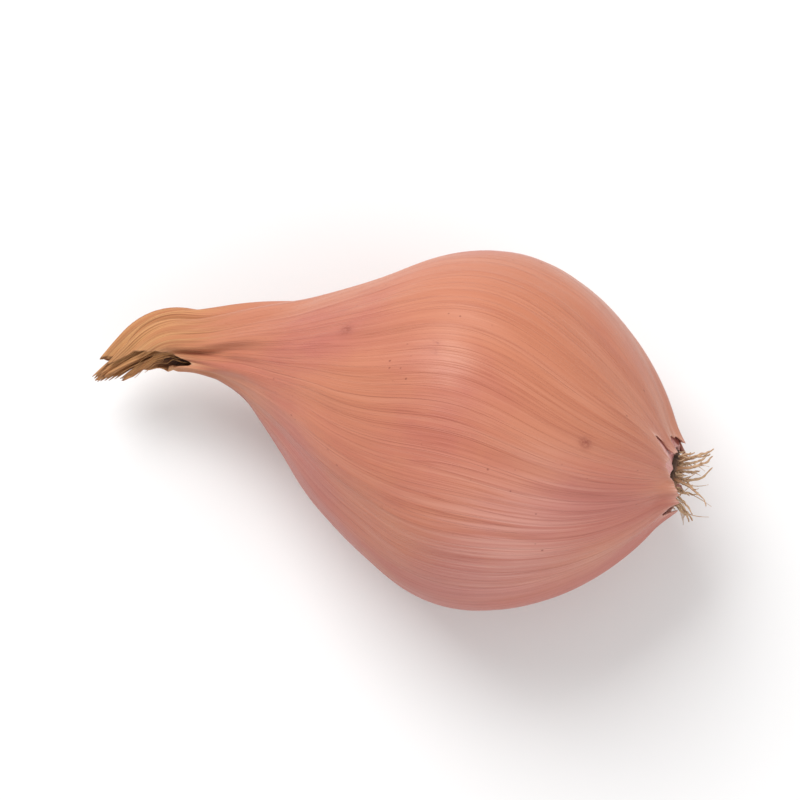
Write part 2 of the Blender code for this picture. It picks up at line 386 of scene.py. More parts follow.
# %% Shader helpers
class Amount:
    """A number that a socket carries. Arithmetic on it adds Math nodes to its tree."""

    def __init__(self, finish, socket):
        self.finish = finish
        self.socket = socket

    def math(self, operation, first, second):
        """Adds one Math node and gives what comes out of it."""
        return Amount(self.finish, self.finish.node("Math", {"operation": operation}, [first, second]))

    def __add__(self, other):
        return self.math("ADD", self, other)

    __radd__ = __add__

    def __sub__(self, other):
        return self.math("SUBTRACT", self, other)

    def __rsub__(self, other):
        return self.math("SUBTRACT", other, self)

    def __mul__(self, other):
        return self.math("MULTIPLY", self, other)

    __rmul__ = __mul__

    def __abs__(self):
        return self.math("ABSOLUTE", self, 0.0)

    def between(self, low, high):
        """0 below low, 1 above high, and a smooth rise from one to the other."""
        settings = {"interpolation_type": "SMOOTHSTEP"}
        return Amount(self.finish, self.finish.node("MapRange", settings, {"Value": self, 1: low, 2: high}))


class Finish:
    """A material whose nodes are added one call at a time."""

    def __init__(self, name, **constants):
        self.material = bpy.data.materials.new(name)
        self.material.use_nodes = True
        self.tree = self.material.node_tree
        self.shader = self.tree.nodes["Principled BSDF"]
        for socket, value in constants.items():
            self.shader.inputs[socket.replace("_", " ")].default_value = value

    def node(self, kind, settings, sockets, output=0):
        """Adds a ShaderNode of this kind, sets its settings, then its sockets, and gives one output."""
        made = self.tree.nodes.new("ShaderNode" + kind)
        for key, value in settings.items():
            setattr(made, key, value)
        items = sockets.items() if isinstance(sockets, dict) else enumerate(sockets)
        for key, value in items:
            self.feed(made.inputs[key], value)
        return made.outputs[output]

    def feed(self, socket, value):
        """Links a socket or an Amount, or sets a plain value."""
        if isinstance(value, Amount):
            value = value.socket
        if isinstance(value, bpy.types.NodeSocket):
            self.tree.links.new(value, socket)
        elif socket.type == "RGBA":
            socket.default_value = (*value, 1.0) if len(value) == 3 else value
        else:
            socket.default_value = value

    def stored(self, name):
        """A number kept on the mesh."""
        return Amount(self, self.node("Attribute", {"attribute_name": name}, {}, output="Fac"))

    def stored_vector(self, name):
        """A vector kept on the mesh."""
        return self.node("Attribute", {"attribute_name": name}, {}, output="Vector")

    def stretched(self, vector, scale):
        """A vector times a vector of scales, one for each axis."""
        return self.node("VectorMath", {"operation": "MULTIPLY"}, [vector, scale])

    def noise(self, vector, scale, detail=3.0, roughness=0.5, distortion=0.0):
        """A cloudy pattern of numbers, read at the vector."""
        sockets = {"Vector": vector, "Scale": scale, "Detail": detail}
        sockets |= {"Roughness": roughness, "Distortion": distortion}
        return Amount(self, self.node("TexNoise", {}, sockets))

    def ridge(self, amount, width):
        """Thin lines where the amount passes 0.5: 1 on the line, 0 from this width away."""
        return abs(amount - 0.5).between(width, 0.0)

    def spots(self, vector, scale):
        """Distance to the nearest of a scatter of points."""
        return Amount(self, self.node("TexVoronoi", {}, {"Vector": vector, "Scale": scale}))

    def mix(self, share, first, second):
        """A colour that goes from first to second as share goes from 0 to 1."""
        return self.node("Mix", {"data_type": "RGBA"}, {"Factor": share, 6: first, 7: second}, output=2)

    def darken(self, share, colour, tint):
        """The colour, multiplied by a tint to the extent of share."""
        settings = {"data_type": "RGBA", "blend_type": "MULTIPLY"}
        return self.node("Mix", settings, {"Factor": share, 6: colour, 7: tint}, output=2)

    def bump(self, height, distance, strength=1.0, below=None):
        """A normal that height tilts; below is a bump that this one lies on."""
        sockets = {"Height": height, "Distance": distance, "Strength": strength}
        if below is not None:
            sockets["Normal"] = below
        return self.node("Bump", {}, sockets)

    def shade(self, **sockets):
        """Feeds the shader's own sockets."""
        for socket, value in sockets.items():
            self.feed(self.shader.inputs[socket.replace("_", " ")], value)
        return self.material


# %% [markdown]
# ## The papery skin
# The skin is thin, dry and slightly glossy: copper pink, rosier in places and paler where it has come loose.
# Fine darker lines run lengthwise. Towards the neck it turns to straw and then to brown. Where the outer
# skin is torn away at the root end, the one beneath it is a deeper, wetter pink. The mesh keeps `grain`, a
# vector that goes round with the angle and along with the skin, so that a pattern stretched in it follows
# the bulb with no seam.

# %% Skin colours
COPPER = (0.545, 0.192, 0.104)
ROSE = (0.475, 0.135, 0.098)
PALE = (0.67, 0.315, 0.215)
MAUVE = (0.455, 0.158, 0.138)
# Pale pink of the painted sheen patches.
PAINTED_SHEEN = (0.70, 0.345, 0.29)
TAN = (0.515, 0.21, 0.083)
STRAW = (0.65, 0.34, 0.14)
TIP_TAN = (0.46, 0.21, 0.08)
BROWN = (0.22, 0.085, 0.035)
# Near black of the painted shade inside the rolled neck.
PAINTED_NECK_SHADE = (0.055, 0.02, 0.012)
INNER_ROSE = (0.62, 0.24, 0.22)
INNER_PALE = (0.78, 0.43, 0.38)
# Deep red of the painted shade in the gap under the torn lip and in the hollow.
PAINTED_GAP_SHADE_RED = (0.36, 0.10, 0.08)
DRY_PINK = (0.80, 0.50, 0.41)
RUST = (0.30, 0.07, 0.04)
SCORCHED = (0.34, 0.15, 0.08)
LINE_TINT = (0.76, 0.60, 0.54)
VEIN_TINT = (0.66, 0.42, 0.36)
THREAD_TINT = (0.70, 0.50, 0.44)
RIB_TINT = (0.72, 0.50, 0.44)
FIBRE_TINT = (0.80, 0.70, 0.64)
INNER_TINT = (0.75, 0.45, 0.42)
SPECK_TINT = (0.35, 0.18, 0.12)

# %% [markdown]
# A few patterns do all the work. Each is noise stretched along the skin: broad clouds and bands, then finer
# and finer lines, down to fibres. Veins and threads are the thin lines where a noise passes its middle value.


# %% Skin patterns
def skin_patterns(f, grain):
    """The patterns that the skin's colours, gloss and bumps share."""
    return SimpleNamespace(
        clouds=f.noise(f.stretched(grain, (1.0, 1.0, 0.9)), 1.8, 4.0, 0.6),
        bands=f.noise(f.stretched(grain, (9.0, 9.0, 0.6)), 1.0, 4.0, 0.6, 0.2),
        lines=f.noise(f.stretched(grain, (34.0, 34.0, 0.9)), 1.0, 3.0, 0.6, 0.2),
        fibres=f.noise(f.stretched(grain, (110.0, 110.0, 3.5)), 1.0, 2.0, 0.5),
        cells=f.noise(f.stretched(grain, (60.0, 60.0, 60.0)), 1.0, 3.0, 0.6),
        veins=f.ridge(f.noise(f.stretched(grain, (15.0, 15.0, 0.35)), 1.0, 2.0, 0.5, 0.1), 0.022),
        threads=f.ridge(f.noise(f.stretched(grain, (40.0, 40.0, 0.8)), 1.0, 2.0, 0.5, 0.1), 0.035),
    )


# %% [markdown]
# The colour is then laid down like coats of paint: first the broad copper and rose, then pale and tan
# patches, then every darker line over them.


# %% Skin on the body, and the skin beneath it
def body_colour(f, p):
    """Copper to rose with the blush, pale and tan patches, pale pink patches of painted sheen, and darker
    lines over them all.
    """
    rosy = f.stored("blush")
    colour = f.mix((rosy + 1.2 * (p.clouds - 0.5)).between(0.15, 0.85), COPPER, ROSE)
    colour = f.mix(p.bands.between(0.50, 0.78) * 0.36, colour, PALE)
    colour = f.mix(p.clouds.between(0.58, 0.80) * 0.35, colour, TAN)
    colour = f.mix((rosy * p.bands).between(0.30, 0.62) * 0.30, colour, MAUVE)
    # Pale pink patches of painted sheen, streaked by the lines.
    colour = f.mix(f.stored("bloom") * (0.25 + 0.5 * p.lines.between(0.62, 0.38)), colour, PAINTED_SHEEN)
    colour = f.mix(p.lines.between(0.50, 0.26) * 0.20, colour, PALE)
    colour = f.darken(p.lines.between(0.50, 0.74) * 0.24, colour, LINE_TINT)
    colour = f.darken(p.veins * p.bands.between(0.30, 0.55) * 0.30, colour, VEIN_TINT)
    colour = f.darken(p.threads * 0.13, colour, THREAD_TINT)
    colour = f.darken(f.stored("vein") * 0.16, colour, RIB_TINT)
    return f.darken(p.fibres.between(0.45, 0.75) * 0.20, colour, FIBRE_TINT)


def inner_colour(f, p):
    """The moist skin beneath, with painted shade in deep red where the gap under the torn edge lies."""
    colour = f.mix(p.bands.between(0.34, 0.62), INNER_ROSE, INNER_PALE)
    colour = f.darken(p.threads * 0.35, colour, INNER_TINT)
    return f.mix(f.stored("gap").between(0.05, 0.9), colour, PAINTED_GAP_SHADE_RED)


# %% Neck, torn edges and marks
def with_neck(f, p, neck, outer, colour):
    """Straw over the drying neck, with brown lines, and a tan to brown tip."""
    straw = f.mix(p.lines.between(0.40, 0.62), TAN, STRAW)
    straw = f.mix((p.threads * 0.6 + p.veins * 0.6) * neck, straw, BROWN)
    colour = f.mix((neck + 0.3 * (p.bands - 0.5)).between(0.38, 0.92) * outer, colour, straw)
    tip = f.mix(p.lines.between(0.40, 0.60), BROWN, TIP_TAN)
    return f.mix((neck + 0.5 * (p.bands - 0.5)).between(0.82, 1.10) * 0.7, colour, tip)


def with_edges(f, p, neck, colour):
    """Torn edges dried pale, scorched in spots at the very edge, and painted shade inside the neck, near
    black with brown lines.
    """
    edge = f.stored("torn_edge")
    dried = f.mix(neck, DRY_PINK, STRAW)
    colour = f.mix(edge * (0.20 + 0.60 * p.lines.between(0.40, 0.62)), colour, dried)
    colour = f.mix(edge.between(0.80, 1.0) * p.cells.between(0.35, 0.6) * 0.6, colour, SCORCHED)
    # Painted shade inside the neck, near black with brown lines, as deep as the inside share says.
    return f.mix(f.stored("inside"), colour, f.mix(p.lines.between(0.40, 0.65), PAINTED_NECK_SHADE, BROWN))


def with_marks(f, p, grain, colour):
    """Fine specks in loose groups, and the few rusty marks."""
    specks = f.spots(f.stretched(grain, (14.0, 14.0, 14.0)), 1.0)
    speck = (1.0 - specks.between(0.04, 0.12)) * f.noise(grain, 3.0).between(0.52, 0.62)
    colour = f.darken(speck * 0.7, colour, SPECK_TINT)
    return f.mix(f.stored("mark") * (0.35 + 0.65 * p.cells.between(0.35, 0.6)), colour, RUST)


# %% [markdown]
# Gloss follows the same zones. The body has a thin, uneven shine, and the dry neck has none. Two bumps lie on
# each other: fibres and cells below, lines and veins above.


# %% Skin finish
def skin_finish():
    """The whole skin: outer and inner skin, neck, edges and marks, with its gloss and its bumps."""
    f = Finish("papery_skin", IOR=1.42, Coat_Roughness=0.32)
    grain = f.stored_vector("grain")
    neck = f.stored("neck")
    outer = f.stored("outer")
    p = skin_patterns(f, grain)
    colour = f.mix(outer, inner_colour(f, p), body_colour(f, p))
    colour = with_neck(f, p, neck, outer, colour)
    colour = with_edges(f, p, neck, colour)
    colour = with_marks(f, p, grain, colour)
    rough = 0.38 + 0.12 * p.clouds.between(0.35, 0.7) + 0.12 * p.bands
    rough = rough + 0.30 * neck.between(0.4, 1.0) - 0.10 * (1.0 - outer)
    gloss = (0.27 - 0.17 * p.bands.between(0.4, 0.7)) * (1.0 - neck.between(0.2, 0.7))
    low = f.bump(p.fibres + 0.5 * p.cells, 0.06 * MM, 0.5)
    high = f.bump(p.lines + 0.7 * p.veins + 0.4 * p.threads, 0.10 * MM, 0.55, below=low)
    return f.shade(Base_Color=colour, Roughness=rough, Coat_Weight=gloss, Normal=high)


SKIN = skin_finish()

# %% [markdown]
# ## The bulb
# The bulb is one closed surface. From the root end it runs: the hollow of the root plate, a ring of the
# skin beneath, the underside of the torn outer skin, its ragged edge, the whole outer skin up to the neck's
# ragged rim, and down inside the rolled neck. Each ring of the grid is one step of that run, and the torn
# outlines only say how far along the skin each ring lies at each angle. So the tear has a real lip, with
# a gap beneath it, and the surface is still closed.

# %% Profile as a road
COLUMNS = 384
ROAD_STEPS = 5000
ROAD_MARGIN = 0.4 * MM
PAST_TIP = 4.0 * MM


def profile_road():
    """Arc length, radius, along and outward normal of the plain outline. The length is 0 at the root rim."""
    along = np.linspace(ROAD_MARGIN - ROOT_SIDE, NECK_TIP + PAST_TIP, ROAD_STEPS)
    radius = bulb_radius(along)
    step = np.hypot(np.gradient(radius), np.gradient(along))
    length = np.cumsum(step)
    length -= np.interp(ROOT_RIM, along, length)
    return length, radius, along, np.gradient(along) / step, -np.gradient(radius) / step


ROAD = profile_road()
ROAD_END = float(np.interp(NECK_TIP, ROAD[2], ROAD[0]))
print("skin length from root rim to neck tip:", round(ROAD_END / MM, 1), "mm")


def on_road(length, height):
    """Radius and along of a point at this length of the road and this height above it."""
    radius, along, out, ahead = (np.interp(length, ROAD[0], ROAD[i]) for i in range(1, 5))
    return radius + height * out, along + height * ahead


def skin_above(angle, length):
    """How far the lumps, veins and folds of the skin stand above the plain outline there."""
    radius, along = on_road(length, 0.0)
    return skin_height(angle, along, radius)


# %% [markdown]
# The outer skin starts at a ragged tear round the root plate, with two longer splits. It ends at the neck's
# rim, which is cut back on the inner side of the bend like a quill. Both outlines are zigzags of the angle.

# %% Torn outlines
TEAR = zigzag(35, 9, (-1.6 * MM, 0.2 * MM), (0.2 * MM, 2.9 * MM), 0.16 * MM)
SMALL_TEARS = zigzag(37, 17, (-0.2 * MM, 0.2 * MM), (0.0 * MM, 1.3 * MM), 0.05 * MM)
RIM = zigzag(41, 8, (-2.6 * MM, -0.8 * MM), (-0.4 * MM, 1.0 * MM), 0.13 * MM)
# Each split: its angle, half its width as an angle, and its depth.
TEAR_SPLITS = ((1.9, 0.13, 6.5 * MM), (4.4, 0.17, 4.5 * MM))
RIM_SPLITS = ((0.6, 0.30, 3.5 * MM), (4.6, 0.25, 3.0 * MM))
QUILL_CUT = 10.0 * MM
QUILL_SIDE = 0.5
QUILL_EDGE = 0.85
QUILL_SLOPE = 1.5


def slit(angle, centre, half_width, depth):
    """A narrow V in a torn outline: depth at its centre, falling to nothing at its sides."""
    return depth * np.clip(1.0 - np.abs(turn_between(angle, centre)) / half_width, 0.0, 1.0) ** 0.7


def torn_length(angle):
    """How far from the root rim the outer skin starts: a coarse tear, a fine one and the splits."""
    return TEAR(angle) + SMALL_TEARS(angle) + sum(slit(angle, *split) for split in TEAR_SPLITS)


def rim_length(angle):
    """Where the outer skin ends at the neck: a ragged rim, less the quill cut and the splits."""
    apart = np.abs(turn_between(angle, QUILL_SIDE))
    cut = QUILL_CUT * (1.0 - smooth_step(apart, QUILL_EDGE, QUILL_SLOPE))
    return ROAD_END + RIM(angle) - cut - sum(slit(angle, *split) for split in RIM_SPLITS)


# %% [markdown]
# The lip of the tear is lifted a little, most where a tooth of skin is left standing, and the lift dies away
# along the skin.

# %% Lifted lip
SKIN_THICKNESS = 0.16 * MM
LEAST_LIFT = 0.12 * MM
TOOTH_START = 2.2 * MM
TOOTH_RANGE = 3.2 * MM
CURL_LENGTH = 4.5 * MM
LIFT = waves(33, 12, (2, 7), (1.0, 2.0))


def lifted(angle, torn, length):
    """The lift at the lip, times the squared share of the curl's length that is still ahead."""
    tooth = np.clip((TOOTH_START - torn) / TOOTH_RANGE, 0.0, 1.0)
    lift = LEAST_LIFT + MM * tooth * (0.95 + 0.70 * LIFT(angle, 0.0)).clip(0.1, 2.0)
    return lift * np.clip(1.0 - (length - torn) / CURL_LENGTH, 0.0, 1.0) ** 2


# %% [markdown]
# Now the rings themselves, in the order of the run. Each stretch is a function that yields its rings, and a
# ring is a line of numbers for each angle: radius, along, and what the finish reads there.

# %% Hollow and inner skin
TEAR_OVERLAP = 1.3 * MM
POCKET = 0.35 * MM
# How far the painted shade under the torn lip fades along the skin beneath.
GAP_SHADE = 0.28 * MM
INNER_ROWS = 16


def ring(length, height, outer, inside=0.0, edge=0.0, gap=0.0):
    """One ring, by its length on the road, its height above it, and its share of each zone."""
    # The last value, gap, is the share of painted shade from the gap under the torn lip.
    return (*on_road(length, height), outer, inside, edge, gap)


def under_tear(torn):
    """How far along the skin the gap beneath the torn lip reaches."""
    return np.maximum(torn, 0.0) + TEAR_OVERLAP


def hollow_rings():
    """The hollow that holds the root plate: three rings of its floor, then two of its wall."""
    radius, along = on_road(0.0, 0.0)
    shrink = HOLLOW_RADIUS / (HOLLOW_RADIUS + HOLLOW_LIP)
    for scale, depth in ((0.35, 1.0), (0.7, 1.0), (0.96, 1.0), (1.0, 0.8), (1.0, 0.3)):
        # The hollow is painted in full shade: its gap share is 1.
        yield radius * shrink * scale, along + depth * HOLLOW_DEPTH, 0.0, 0.0, 0.0, 1.0


def inner_rings(angle, torn):
    """The skin beneath, from the hollow to the end of the gap, a little deeper at each ring."""
    for part in np.linspace(0.0, 1.0, INNER_ROWS):
        length = part * under_tear(torn)
        # Painted shade: darker towards the torn lip, where the gap lies over the skin beneath.
        shade = np.exp((length - torn) / GAP_SHADE).clip(0, 1)
        yield ring(length, skin_above(angle, length) - POCKET * (0.3 + 0.7 * part), 0.0, gap=shade)


# %% Outer skin and neck
SKIN_ROWS = 196
LIP_ROUNDING = 0.04 * MM
UNDERSIDE_PARTS = (0.85, 0.65, 0.45, 0.25, 0.1)
LIP_PARTS = (0.0, 0.0012, 0.0028, 0.005, 0.0078, 0.011, 0.015, 0.0195)
NECK_PARTS = (0.02, 0.15, 0.3, 0.45, 0.6, 0.75, 0.9, 1.0)
PALE_TEAR = 0.8 * MM
PALE_RIM = 1.6 * MM
NECK_HOLLOW = 9.0 * MM
NECK_WALL = 0.26 * MM
NECK_CLOSING = 2.2 * MM


def underside_rings(angle, torn):
    """The underside of the torn lip, from the end of the gap back to the edge, and the edge itself."""
    for part in UNDERSIDE_PARTS:
        length = torn + (under_tear(torn) - torn) * part
        height = (lifted(angle, torn, length) - SKIN_THICKNESS) * (1.0 - part) - POCKET * part
        # Painted shade on the underside of the lip, darker deeper into the gap.
        yield ring(length, skin_above(angle, length) + height, 0.35, edge=0.5 * (1.0 - part), gap=part)
    height = skin_above(angle, torn) + lifted(angle, torn, torn) - 0.5 * SKIN_THICKNESS
    yield ring(torn - LIP_ROUNDING, height, 0.9, edge=1.0)


def outer_rings(angle, torn, rim):
    """The outer skin from tear to rim, close together at the lip, with both edges dried pale."""
    for part in (*LIP_PARTS, *np.linspace(0.025, 1.0, SKIN_ROWS)):
        length = torn + (rim - torn) * part
        pale = np.exp(-(length - torn) / PALE_TEAR) + np.exp(-(rim - length) / PALE_RIM)
        height = skin_above(angle, length) + lifted(angle, torn, length)
        yield ring(length, height, 1.0, edge=np.clip(pale, 0.0, 1.0))


def neck_rings(angle, rim):
    """Down inside the rolled neck, a wall's thickness in, until it closes."""
    for part in NECK_PARTS:
        length = rim - part * NECK_HOLLOW
        depth = NECK_WALL + NECK_CLOSING * smooth_step(part, 0.75, 0.6)
        # The inside share is the painted shade, growing deeper into the neck.
        yield ring(length, skin_above(angle, length) - depth, 1.0, inside=min(1.0, 0.35 + 1.4 * part))


# %% Bulb grid
def bulb_grid():
    """All rings of the bulb's surface in order: one grid of angles, and one for each number of a ring."""
    angle = 2.0 * np.pi * np.arange(COLUMNS) / COLUMNS
    torn, rim = torn_length(angle), rim_length(angle)
    rings = [*hollow_rings(), *inner_rings(angle, torn), *underside_rings(angle, torn)]
    rings += [*outer_rings(angle, torn, rim), *neck_rings(angle, rim)]
    grids = [np.stack([np.broadcast_to(row, (COLUMNS,)) for row in rows]) for rows in zip(*rings)]
    return (np.broadcast_to(angle, grids[0].shape), *grids)


# %% [markdown]
# The finish needs to know more than the shape: how near the neck a point is, which layer it belongs to, where
# the torn edges are, where painted shade goes under the torn lip and inside the neck, where the skin is
# rosier or marked, and where pale patches of painted sheen lie. All of it is kept on the points.

# %% Zones of the skin
NECK_START = 22 * MM
# Each mark and each patch of painted sheen: its angle, its place along the axis, and its size.
MARKS = (
    (1.835, 22.0 * MM, 0.9 * MM),
    (1.45, -16.6 * MM, 0.8 * MM),
    (1.77, 7.6 * MM, 0.3 * MM),
    (1.71, 7.4 * MM, 0.25 * MM),
    (4.90, 8.0 * MM, 0.8 * MM),
)
PAINTED_SHEEN_PATCHES = (
    (0.75, -9.0 * MM, 11.0 * MM),
    (3.60, -4.0 * MM, 9.0 * MM),
    (5.20, 12.0 * MM, 9.0 * MM),
)
BLUSH_WAVES = waves(61, 20, (1, 5), (25 * MM, 80 * MM))


def patches(angle, along, places):
    """A sum of soft round patches on the skin, each exp(-(distance / size)^2)."""
    total = np.zeros(angle.shape)
    for centre, place, size in places:
        distance = np.hypot(turn_between(angle, centre) * bulb_radius(along), along - place)
        total += np.exp(-((distance / size) ** 2))
    return np.clip(total, 0.0, 1.0)


def blush(angle, along, neck):
    """One side rosier than the other by a cosine, with broad waves, and less of it towards the neck."""
    sides = 0.5 + 0.32 * np.cos(angle + 0.5)
    return sides + 0.16 * BLUSH_WAVES(angle, along) - 0.3 * neck.clip(0.0, 1.0)


# %% Bulb
def make_bulb():
    """The grid laid down in the frame, flat where it rests, with every zone kept on its points."""
    angle, radius, along, outer, inside, edge, gap = bulb_grid()
    points = lay_down(radius * np.cos(angle), radius * np.sin(angle), along)
    points[..., 2] = np.maximum(points[..., 2], BULB_LOW[2])
    turned = wrung(angle, along)
    neck = (along - NECK_START) / (NECK_TIP - NECK_START)
    values = {
        "grain": np.stack([np.cos(turned), np.sin(turned), along / BODY_RADIUS], axis=-1),
        "neck": neck,
        "outer": outer,
        "inside": inside,
        "torn_edge": edge,
        "gap": gap,
        "vein": np.clip(vein_height(angle, along, radius), 0.0, 1.0),
        "blush": blush(angle, along, neck),
        # Where the patches of painted sheen lie.
        "bloom": patches(angle, along, PAINTED_SHEEN_PATCHES),
        "mark": patches(angle, along, MARKS),
    }
    add_rings("bulb_skin", [(points, values)], SKIN, ["bulb"])
    print("bulb grid", points.shape[:2], "triangles", 2 * points.shape[0] * COLUMNS)


make_bulb()

# %% [markdown]
# ## The root plate
# The plate is the shortened stem of the plant: a hard, corky disc, uneven in rings and radial lines, with a
# small boss where each root came out. Its height is a function of angle and distance from the middle.

# %% Plate finish
CORK = (0.19, 0.10, 0.06)
CORK_LIGHT = (0.44, 0.265, 0.16)
CORK_DARK = (0.05, 0.025, 0.016)


def cork_finish():
    """Dark cork in the dips, brown above, with light crumbs on what stands out."""
    f = Finish("root_cork", IOR=1.45)
    grain = f.stored_vector("grain")
    raised = f.stored("raised")
    blotches = f.noise(grain, 3.0, 5.0, 0.65)
    crumbs = f.noise(grain, 11.0, 5.0, 0.7)
    colour = f.mix((raised + 3.0 * (blotches - 0.5)).between(-1.9, 0.7), CORK_DARK, CORK)
    colour = f.mix((0.15 * raised + crumbs).between(0.52, 0.80) * 0.8, colour, CORK_LIGHT)
    bump = f.bump(crumbs + blotches, 0.3 * MM)
    return f.shade(Base_Color=colour, Roughness=0.75 + 0.2 * blotches, Normal=bump)


CORK_FINISH = cork_finish()

# %% [markdown]
# The bosses stand where the roots start, so the roots' places are read from the frame first. A strand's
# middle line is found by cutting its points into slices along its length and taking each slice's mean.


# %% Where the roots are
def middle_line(node, slices):
    """Means of a strand's points in the frame, in slices of distance from the plate end to the far end."""
    points = np.array([vertex.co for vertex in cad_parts[node].data.vertices])
    plate = np.mean([tuple(corner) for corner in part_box("root_plate")], axis=0)
    away = np.linalg.norm(points - plate, axis=1)
    near, far = points[np.argmin(away)], points[np.argmax(away)]
    order = np.argsort((points - near) @ (far - near))
    return np.array([points[part].mean(axis=0) for part in np.array_split(order, slices)])


ROOT_NODES = sorted(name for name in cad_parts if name.startswith("root_") and name != "root_plate")
ROOT_SLICES = 6
ROOT_STARTS = [middle_line(node, ROOT_SLICES)[0] for node in ROOT_NODES]

# %% Plate relief
PLATE_RADIUS = 4.3 * MM
SCARS = 34
SCAR_RADIUS = 0.34 * MM
CRUMBS = 60


def scars(across, up):
    """Ring-shaped scars of lost roots, each (2d^2 - 0.6) * exp(-d^2), with d its distance over its radius."""
    rng = np.random.default_rng(53)
    total = np.zeros(across.shape)
    turns = rng.uniform(0, 2 * np.pi, SCARS)
    places = PLATE_RADIUS * np.sqrt(rng.uniform(0.02, 0.8, SCARS))
    for turn, place in zip(turns, places):
        distance = np.hypot(across - place * np.cos(turn), up - place * np.sin(turn)) / SCAR_RADIUS
        total += (2.0 * distance**2 - 0.6) * np.exp(-(distance**2))
    return total


def crumble(across, up):
    """A sum of plane waves, 0.35 to 1.5 mm long, in random directions, divided by its own spread."""
    rng = np.random.default_rng(54)
    total = np.zeros(across.shape)
    turns, starts = rng.uniform(0, 2 * np.pi, (2, CRUMBS))
    lengths = rng.uniform(0.35, 1.5, CRUMBS) * MM
    for turn, start, length in zip(turns, starts, lengths):
        total += np.cos((across * np.cos(turn) + up * np.sin(turn)) * 2 * np.pi / length + start)
    return total / total.std()


# %% Plate surface
PLATE_THICKNESS = 1.5 * MM
PLATE_CROWN = 0.5 * MM
PLATE_SIDES = 240
PLATE_ROWS = 60
PLATE_EDGE = waves(52, 26, (3, 40), (1.0, 2.0))
EDGE_WAVES = 0.02
RING_PITCH = 1.15 * MM
RELIEF = 0.17 * MM
BOSS_HEIGHT = 0.35
BOSS_RADIUS = 0.75 * MM


def root_plate():
    """A low crown with waves, root scars and a boss under each root, on an uneven circle."""
    angle = 2.0 * np.pi * np.arange(PLATE_SIDES) / PLATE_SIDES
    outline = PLATE_RADIUS * (1.0 - EDGE_WAVES + EDGE_WAVES * PLATE_EDGE(angle, 0.0)).clip(0.9, 1.03)
    face = np.linspace(0.02, 0.99, PLATE_ROWS)
    part = np.concatenate([face, [1.0, 1.0, 1.0, 0.97, 0.6, 0.2]])[:, None]
    drop = np.concatenate([np.zeros(face.size), [0.1, 0.4, 0.8, 1.0, 1.0, 1.0]])[:, None]
    radius = outline * part
    across, up = radius * np.cos(angle), radius * np.sin(angle)
    on_face = (drop == 0.0) * (1.0 - part**8)
    rings = np.cos(2 * np.pi * radius / RING_PITCH + 1.5 * np.cos(angle + 1.0))
    raised = (0.55 * crumble(across, up) + 0.30 * rings + 0.7 * scars(across, up)) * on_face
    height = PLATE_CROWN * (1.0 - part**2) * (drop == 0.0) + RELIEF * raised
    points = lay_down(across, up, ROOT_RIM + PLATE_THICKNESS * drop - height)
    outward = np.subtract(*lay_down(np.zeros(2), np.zeros(2), ROOT_RIM - np.array([MM, 0.0])))
    for start in ROOT_STARTS:
        apart = np.linalg.norm(points - start, axis=-1)
        points = points + BOSS_HEIGHT * outward * np.exp(-((apart / BOSS_RADIUS) ** 2))[..., None]
    grain = np.stack([across, up, height], axis=-1) / PLATE_RADIUS
    values = {"grain": grain, "raised": raised - 1.2 * (part**6)}
    add_rings("corky_plate", [(points, values)], CORK_FINISH, ["root_plate"])


root_plate()

# %% [markdown]
# ## Tubes along a path
# Roots and loose strings are thin strands. A strand is a circle carried along a path: at each point the ring
# lies square to the path, and its radius shrinks towards the end.

# %% Strand builder
NO_PATH_WAY = (0.31, 0.52, 0.80)
THREAD_SIDES = 10


def smooth_path(points, count):
    """A cubic through the points: each stretch blends them with Catmull-Rom weights."""
    points = np.asarray(points, dtype=float)
    padded = np.concatenate([[2 * points[0] - points[1]], points, [2 * points[-1] - points[-2]]])
    where = np.linspace(0.0, len(points) - 1.0, count)
    i = np.minimum(where.astype(int), len(points) - 2)
    t = (where - i)[:, None]
    a, b, c, d = (padded[i + k] for k in range(4))
    return 0.5 * (2 * b + (c - a) * t + (2 * a - 5 * b + 4 * c - d) * t**2 + (3 * b - a - 3 * c + d) * t**3)


def tube_grid(path, radius, turn):
    """Path + radius * (cos turn * side + sin turn * other), with side and other square to the path."""
    ahead = np.gradient(path, axis=0)
    ahead /= np.linalg.norm(ahead, axis=1)[:, None]
    side = np.cross(ahead, NO_PATH_WAY)
    side /= np.linalg.norm(side, axis=1)[:, None]
    other = np.cross(ahead, side)
    hoop = np.cos(turn)[None, :, None] * side[:, None, :] + np.sin(turn)[None, :, None] * other[:, None, :]
    return path[:, None, :] + radius[:, :, None] * hoop


def thread(path, radius, number):
    """A ridged tube along a path, and what the finish reads on it."""
    part = np.linspace(0.0, 1.0, len(path))[:, None]
    turn = 2.0 * np.pi * np.arange(THREAD_SIDES) / THREAD_SIDES
    ridges = 1.0 + 0.22 * np.cos(2 * turn + 9.0 * part) + 0.10 * np.cos(5 * turn)
    grid = tube_grid(path, radius[:, None] * ridges, turn)
    tip = np.broadcast_to(part, grid.shape[:2])
    around = [np.broadcast_to(values, tip.shape) for values in (np.cos(turn), np.sin(turn))]
    return grid, {"grain": np.stack([*around, number + 6.0 * tip], axis=-1), "tip": tip}


# %% [markdown]
# ## Roots
# The roots have dried to short, crooked threads: cream where they are clean and brown where they leave the
# plate. Each one follows the middle line of its solid in the frame, and gets the kinks and the uneven
# thickness that drying gives.

# %% Root finish
ROOT_CREAM = (0.77, 0.56, 0.36)
ROOT_BROWN = (0.35, 0.165, 0.08)


